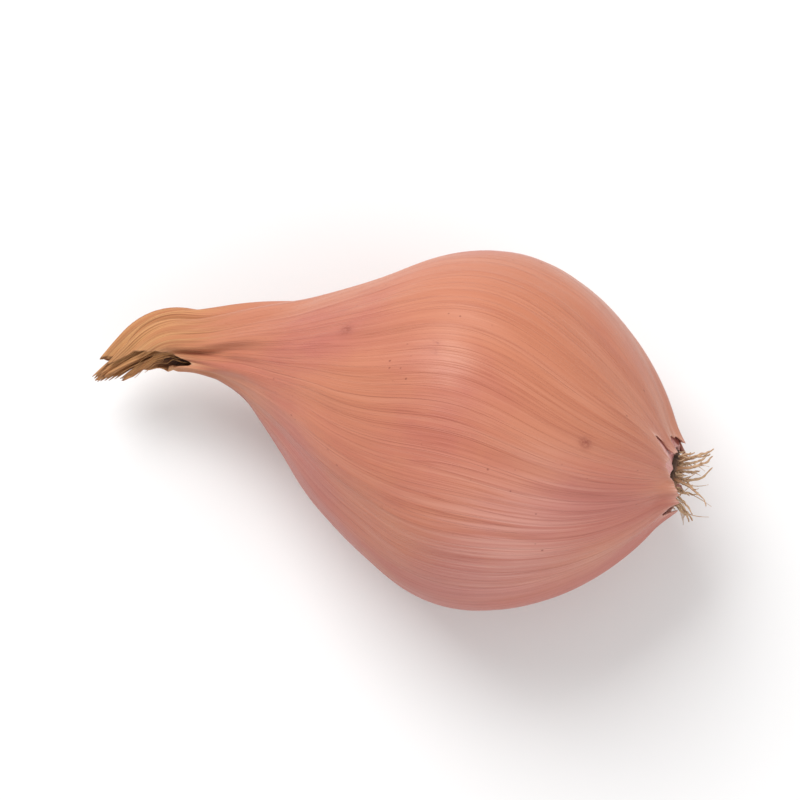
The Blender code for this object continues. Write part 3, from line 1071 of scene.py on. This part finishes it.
def root_finish():
    """Cream with brown streaks along the thread, and brown where it starts."""
    f = Finish("dry_root", IOR=1.45)
    grain = f.stored_vector("grain")
    tip = f.stored("tip")
    streaks = f.noise(f.stretched(grain, (4.0, 4.0, 1.2)), 1.0, 4.0, 0.6)
    colour = f.mix(streaks.between(0.35, 0.65), ROOT_BROWN, ROOT_CREAM)
    colour = f.mix(tip.between(0.0, 0.35), ROOT_BROWN, colour)
    return f.shade(Base_Color=colour, Roughness=0.7 + 0.2 * streaks, Normal=f.bump(streaks, 0.08 * MM))


ROOT_FINISH = root_finish()


# %% Root strands
ROOT_ROWS = 56
ROOT_FOOT = 0.9
CROOKS = (2, 4, 7, 12)
CROOK_SIZE = 0.32 * MM
ROOTLETS = 2
ROOTLET_ROWS = 18
ROOTLET_STARTS = (14, 40)
ROOTLET_RADIUS = 0.075 * MM


def crook(part, rng):
    """A sum of sines along the root, each with a random height and start, the finer the lower."""
    return sum(rng.uniform(-1, 1) * np.sin(k * np.pi * part + rng.uniform(0, 6)) / k for k in CROOKS)


def rootlet(path, number, rng):
    """A hair-fine thread that leaves the path somewhere in its middle, bent to a random side."""
    start = rng.integers(*ROOTLET_STARTS)
    ahead = path[start + 1] - path[start]
    ahead = ahead / np.linalg.norm(ahead) + rng.uniform(-0.9, 0.9, 3)
    steps = np.linspace(0.0, rng.uniform(0.9, 2.0) * MM, ROOTLET_ROWS)[:, None]
    bend = rng.uniform(-0.3, 0.3, 3) * steps**2 / MM
    radius = ROOTLET_RADIUS * np.linspace(1.0, 0.4, ROOTLET_ROWS)
    return thread(path[start] + ahead * steps + bend, radius, number)


def dry_root(node, number):
    """The strand's middle line with crooks, thicker at its foot and thinning as it goes, and its rootlets."""
    rng = np.random.default_rng(600 + number)
    line = middle_line(node, ROOT_SLICES)
    line[0] += ROOT_FOOT * (line[0] - line[1])
    path = smooth_path(line, ROOT_ROWS)
    part = np.linspace(0.0, 1.0, ROOT_ROWS)
    for axis in range(3):
        path[:, axis] += CROOK_SIZE * crook(part, rng) * np.clip(3.0 * part, 0.0, 1.0)
    radius = rng.uniform(0.20, 0.30) * MM * (1.0 + 0.6 * np.exp(-part / 0.07) - 0.62 * part)
    radius *= 1.0 + 0.12 * np.sin(31.0 * part + rng.uniform(0, 6))
    radius[-1] *= 0.35
    parts = [thread(path, radius, number)]
    parts += [rootlet(path, number, rng) for _ in range(ROOTLETS)]
    add_rings(f"dried_{node}", parts, ROOT_FINISH, [node])


for number, node in enumerate(ROOT_NODES):
    dry_root(node, number)
print("roots:", len(ROOT_NODES))

# %% [markdown]
# Most roots broke off short when the bulb was lifted and cleaned. Their stubs stand all over the plate,
# thick and thin, each bent its own way.

# %% Root stubs
STUBS = 46
STUB_ROWS = 14
STUB_FOOT = 0.4 * MM
STUB_CROOK = 0.10 * MM


def root_stubs():
    """Short bent threads that start at random on the plate and lean away from its middle."""
    rng = np.random.default_rng(901)
    parts = []
    for number in range(STUBS):
        turn = rng.uniform(0.0, 2.0 * np.pi)
        place = PLATE_RADIUS * 0.92 * np.sqrt(rng.uniform(0.0, 1.0))
        part = np.linspace(0.0, 1.0, STUB_ROWS)
        length = rng.uniform(0.7, 2.3) * MM
        sway = rng.uniform(-0.5, 0.5, 2)
        out = place + 0.55 * length * part * place / PLATE_RADIUS
        across = out * np.cos(turn) + sway[0] * length * part**2 + STUB_CROOK * np.sin(9.0 * part + number)
        up = out * np.sin(turn) + sway[1] * length * part**2 + STUB_CROOK * np.cos(7.0 * part + number)
        crown = PLATE_CROWN * (1.0 - (place / PLATE_RADIUS) ** 2)
        path = lay_down(across, up, ROOT_RIM - crown + STUB_FOOT - (length + STUB_FOOT) * part)
        parts.append(thread(path, rng.uniform(0.07, 0.19) * MM * (1.0 - 0.45 * part**2), number))
    add_rings("root_stubs", parts, ROOT_FINISH)


root_stubs()

# %% [markdown]
# ## Leaf ends in the neck
# Inside the rolled neck sit the dried ends of the leaves that stood above the bulb. Each is a curled strip
# of stringy paper, tan to brown, with a torn end. A strip is a grid along the neck and across part of a
# circle, and Solidify gives it the thickness of dry skin.

# %% Leaf finish
LEAF_TAN = (0.62, 0.31, 0.12)
LEAF_BROWN = (0.35, 0.14, 0.055)


def leaf_finish():
    """Tan strings on brown, straw in patches, with dark gaps between strings and dark torn edges."""
    f = Finish("dry_leaf", IOR=1.45)
    grain = f.stored_vector("grain")
    edge = f.stored("edge")
    strings = f.noise(f.stretched(grain, (16.0, 1.0, 1.0)), 1.0, 4.0, 0.65, 0.3)
    blotches = f.noise(grain, 1.3, 3.0, 0.5)
    colour = f.mix(strings.between(0.34, 0.54), LEAF_BROWN, LEAF_TAN)
    colour = f.mix(blotches.between(0.5, 0.7) * 0.6, colour, STRAW)
    colour = f.mix(strings.between(0.62, 0.72) * 0.8, colour, BROWN)
    colour = f.mix(edge * 0.6, colour, BROWN)
    return f.shade(Base_Color=colour, Roughness=0.6 + 0.25 * strings, Normal=f.bump(strings, 0.15 * MM))


LEAF_FINISH = leaf_finish()

# %% Leaf strips
# Each leaf: its node, its angle, half its width as an angle, its share of the radius, and its reach.
LEAVES = (
    ("neck_leaf_1", 3.6, 1.70, 0.62, 4.6 * MM),
    ("neck_leaf_2", 1.6, 0.95, 0.48, 3.4 * MM),
    ("neck_leaf_3", 5.8, 1.10, 0.42, 2.6 * MM),
)
LEAF_ROWS = 64
LEAF_COLUMNS = 56
LEAF_FOOT = 13.0 * MM
LEAF_WALL = 0.11 * MM
END_CURVE = 1.8 * MM
FRAY_CORNERS = 19


def strip_faces(rows, columns):
    """Quads of an open grid."""
    row, column = np.meshgrid(np.arange(rows - 1), np.arange(columns - 1), indexing="ij")
    start = row * columns + column
    quads = np.stack([start, start + 1, start + columns + 1, start + columns], axis=-1)
    return quads.reshape(-1, 4).tolist()


def frayed(side, rng):
    """How far a leaf's end stands back at each place across it: a zigzag between 0 and random depths."""
    corners = np.linspace(-1.0, 1.0, FRAY_CORNERS)
    depths = rng.uniform(-2.4, 0.2, FRAY_CORNERS) * (np.arange(FRAY_CORNERS) % 2)
    return np.interp(side, corners, depths) * MM


def leaf_end(node, number, centre, half_angle, share, reach):
    """Part of a circle round the neck's axis, folded, that runs from inside the neck to past its rim."""
    part = np.linspace(0.0, 1.0, LEAF_ROWS)
    part, side = np.meshgrid(part, np.linspace(-1.0, 1.0, LEAF_COLUMNS), indexing="ij")
    fray = frayed(side[0], np.random.default_rng(700 + number))
    along = NECK_TIP - LEAF_FOOT + part * (LEAF_FOOT + reach + fray - END_CURVE * side**2)
    width = half_angle * (1.0 - 0.5 * part**2)
    angle = centre + width * side + 0.25 * part + 0.12 * np.sin(7.0 * part + number)
    folds = 0.10 * np.cos(7.0 * side + 3.0 * part + number) + 0.06 * np.cos(17.0 * side - 4.0 * part)
    radius = bulb_radius(along) * (share + 0.12 * part**2 + folds * (0.4 + 0.6 * part))
    points = lay_down(radius * np.cos(angle), radius * np.sin(angle), along).reshape(-1, 3)
    faces = strip_faces(LEAF_ROWS, LEAF_COLUMNS)
    piece = add_piece(f"dried_{node}", points, faces, LEAF_FINISH, [node])
    grain = np.stack([side * half_angle, part * 2.0, np.full_like(part, number)], axis=-1)
    keep(piece, "edge", np.maximum(np.abs(side) ** 10, part**14).ravel())
    keep(piece, "grain", grain.reshape(-1, 3))
    wall = piece.modifiers.new("paper", "SOLIDIFY")
    wall.thickness = LEAF_WALL
    wall.offset = 0.0


for number, leaf in enumerate(LEAVES):
    leaf_end(leaf[0], number, *leaf[1:])


# %% [markdown]
# Between the leaf ends are loose strings: the tough veins that stay when the rest of a leaf has rotted.

# %% Loose strings
STRINGS = 16
STRING_ROWS = 30


def neck_strings():
    """Thin threads that start inside the neck and splay a little beyond its cut-back side."""
    rng = np.random.default_rng(801)
    parts = []
    for number in range(STRINGS):
        along = np.linspace(NECK_TIP - LEAF_FOOT, NECK_TIP - rng.uniform(-1.5, 6.0) * MM, STRING_ROWS)
        part = np.linspace(0.0, 1.0, STRING_ROWS)
        angle = rng.uniform(-0.9, 1.9) + rng.uniform(-0.5, 0.5) * part + 0.1 * np.sin(9.0 * part + number)
        share = rng.uniform(0.2, 0.7) + rng.uniform(0.0, 0.35) * part**2
        share = share + 0.05 * np.sin(14.0 * part + number)
        radius = bulb_radius(along) * share
        path = lay_down(radius * np.cos(angle), radius * np.sin(angle), along)
        grid, values = thread(path, rng.uniform(0.06, 0.13) * MM * (1.1 - 0.7 * part), number)
        parts.append((grid, {"grain": values["grain"]}))
    add_rings("neck_strings", parts, LEAF_FINISH)


neck_strings()

# %% [markdown]
# ## Camera, floor and light
# The camera looks down steeply, as over a table, with the neck to the left and the roots to the right. A
# large soft light from the upper left makes the gloss on the skin, and a pale floor and sky fill the shadows.


# %% Camera
def look_from(azimuth, elevation, distance, lens):
    """Places the camera on a sphere round the object's middle and turns it to look there."""
    low, high = (Vector(corner) for corner in CAD_BOX)
    middle = 0.5 * (low + high)
    a, e = math.radians(azimuth), math.radians(elevation)
    away = Vector((math.sin(a) * math.cos(e), -math.cos(a) * math.cos(e), math.sin(e)))
    camera = bpy.data.objects.new("camera", bpy.data.cameras.new("camera"))
    bpy.context.scene.collection.objects.link(camera)
    camera.location = middle + away * distance
    camera.rotation_euler = (-away).to_track_quat("-Z", "Y").to_euler()
    camera.data.lens = lens
    camera.data.clip_start = 0.01
    bpy.context.scene.camera = camera


look_from(azimuth=16.0, elevation=78.0, distance=0.34, lens=100.0)


# %% Floor and lights
FLOOR_REACH = 1.5
FLOOR_GAP = 0.1 * MM
FLOOR_COLOUR = (0.86, 0.86, 0.86)
SKY_STRENGTH = 0.62


def add_floor():
    """One large pale square, just under what rests on it."""
    low, high, level = -FLOOR_REACH, FLOOR_REACH, CAD_BOX[0][2] - FLOOR_GAP
    corners = [(low, low, level), (high, low, level), (high, high, level), (low, high, level)]
    mesh = bpy.data.meshes.new("floor")
    mesh.from_pydata(corners, [], [(0, 1, 2, 3)])
    mesh.materials.append(Finish("pale_floor").shade(Base_Color=FLOOR_COLOUR, Roughness=0.9))
    floor = bpy.data.objects.new("floor", mesh)
    bpy.context.scene.collection.objects.link(floor)


def add_light(name, place, size, power):
    """A square soft light that faces the object."""
    light = bpy.data.lights.new(name, "AREA")
    light.size = size
    light.energy = power
    lamp = bpy.data.objects.new(name, light)
    bpy.context.scene.collection.objects.link(lamp)
    lamp.location = place
    lamp.rotation_euler = (-Vector(place)).to_track_quat("-Z", "Y").to_euler()


add_floor()
add_light("window", (-0.35, 0.30, 0.60), 0.45, 4.2)
add_light("fill", (0.55, -0.25, 0.45), 0.6, 1.5)
world = bpy.data.worlds.new("soft_sky")
bpy.context.scene.world = world
world.use_nodes = True
world.node_tree.nodes["Background"].inputs["Color"].default_value = (1.0, 1.0, 1.0, 1.0)
world.node_tree.nodes["Background"].inputs["Strength"].default_value = SKY_STRENGTH
bpy.context.scene.view_settings.view_transform = "Standard"
